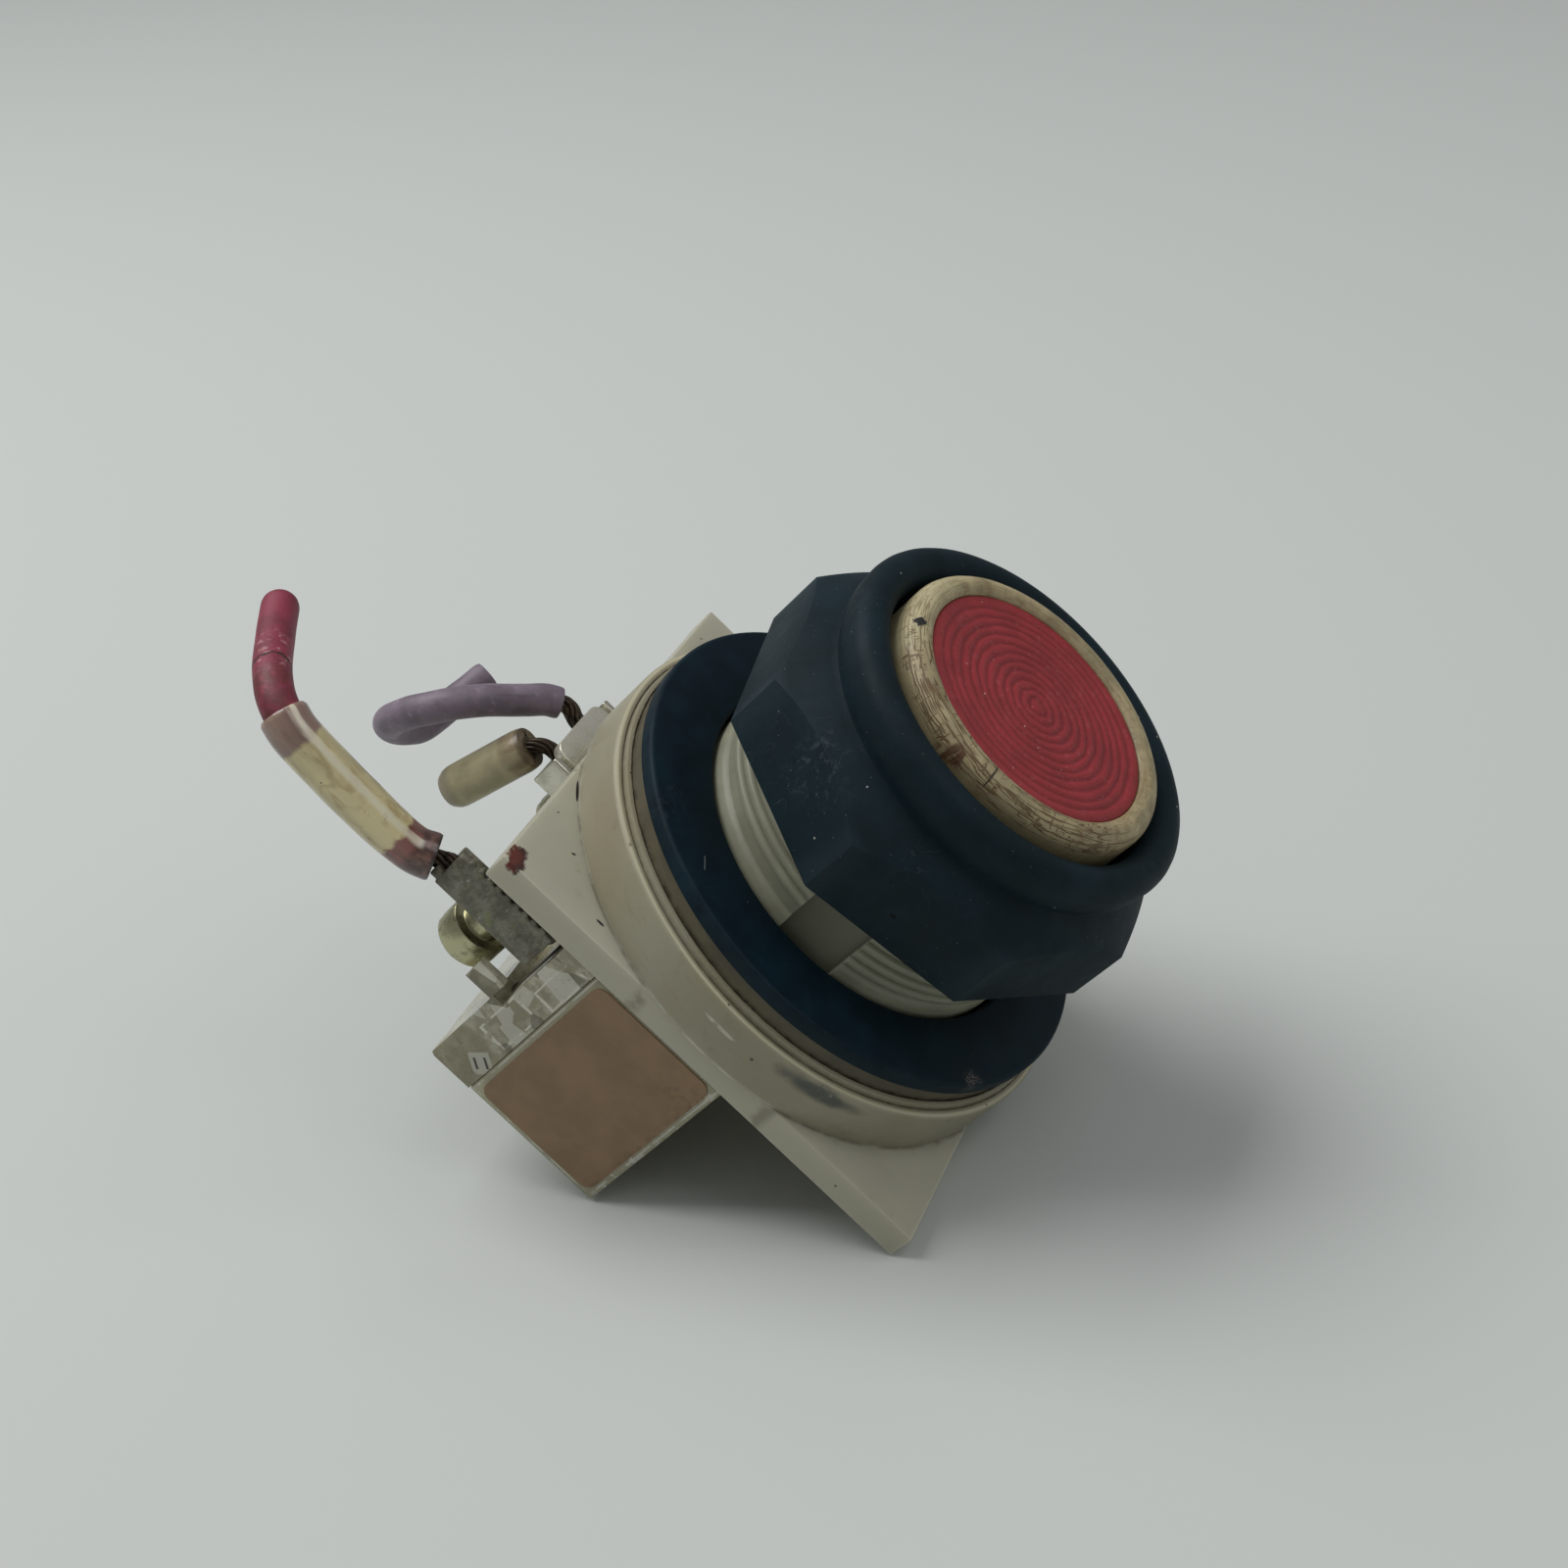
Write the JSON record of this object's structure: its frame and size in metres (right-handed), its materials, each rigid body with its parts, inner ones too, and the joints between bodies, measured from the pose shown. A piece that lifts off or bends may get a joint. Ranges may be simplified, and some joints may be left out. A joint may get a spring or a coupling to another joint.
{
  "type": "emergency stop button",
  "caption": "Flush red push-button operator for a 30 mm panel hole, with a guarded octagonal ring nut, one contact block and its cut-off leads",
  "frame": {"origin": "on the barrel's axis at the gasket's front face, where the back of the panel lies", "axes": "+Z the way the button faces, out of the panel; -X towards the terminals; -Y towards the contact block's label"},
  "size_m": [0.0702, 0.047, 0.0493],
  "materials": {
    "body_plastic": "satin",
    "tan_plastic": "matte",
    "gasket_rubber": "matte",
    "brass": "satin",
    "black_plastic": "satin",
    "bright_steel": "satin",
    "nut_plastic": "satin",
    "cap_plastic": "satin",
    "red_plastic": "satin",
    "clear_plastic": "gloss",
    "amber_plastic": "gloss",
    "label_paper": "matte",
    "nickel": "satin",
    "green_plastic": "satin",
    "copper_alloy": "satin",
    "silver_tips": "satin",
    "zinc": "matte",
    "copper_strands": "satin",
    "pink_insulation": "satin",
    "sleeve_plastic": "gloss",
    "violet_insulation": "satin",
    "marker_plastic": "satin"
  },
  "bodies": {
    "operator": {"operator_body": "body_plastic", "spacer_ring": "tan_plastic", "panel_gasket": "gasket_rubber", "fixing_inserts": "brass", "stem_bush": "black_plastic", "stem_seal": "gasket_rubber", "spring_seat": "bright_steel", "block_housing": "clear_plastic", "terminal_carrier": "amber_plastic", "block_label": "label_paper", "block_screws": "nickel", "terminal_strips": "copper_alloy", "fixed_tips": "silver_tips", "near_wire_clamp": "zinc", "far_wire_clamp": "nickel", "terminal_screws": "nickel", "pink_lead_strands": "copper_strands", "pink_lead": "pink_insulation", "clear_sleeve": "sleeve_plastic", "violet_lead_strands": "copper_strands", "violet_lead": "violet_insulation", "marker_lead_strands": "copper_strands", "marker_sleeve": "marker_plastic"},
    "ring_nut": {"ring_nut": "nut_plastic"},
    "button": {"button_cap": "cap_plastic", "colour_insert": "red_plastic", "plunger_stem": "bright_steel", "stem_clip": "bright_steel", "push_bar": "black_plastic", "return_spring": "bright_steel"},
    "contact_plunger": {"block_plunger": "green_plastic", "plunger_collar": "bright_steel", "plunger_spring": "bright_steel", "contact_spring": "bright_steel"},
    "contact_bridge": {"contact_bridge": "copper_alloy", "moving_tips": "silver_tips"}
  },
  "joints": [
    {"name": "button_press", "type": "slide", "parent": "operator", "child": "button", "axis": [0, 0, -1], "range_m": [0, 0.0055], "stiffness_N_per_m": 800, "springref_m": -0.004, "deforming": ["return_spring"]},
    {"name": "contact_plunger_slide", "type": "slide", "parent": "operator", "child": "contact_plunger", "axis": [0, 0, -1], "range_m": [0, 0.0055], "deforming": ["plunger_spring", "contact_spring"]},
    {"name": "contact_bridge_slide", "type": "slide", "parent": "operator", "child": "contact_bridge", "axis": [0, 0, -1], "range_m": [0, 0.00275]},
    {"name": "ring_nut_turn", "type": "hinge", "parent": "operator", "child": "ring_nut", "pos_m": [0, 0, 0], "axis": [0, 0, 1], "continuous": true}
  ],
  "couplings": [
    {"joint": "contact_plunger_slide", "follows": "button_press", "ratio": 1},
    {"joint": "contact_bridge_slide", "follows": "button_press", "ratio": 0.5}
  ]
}
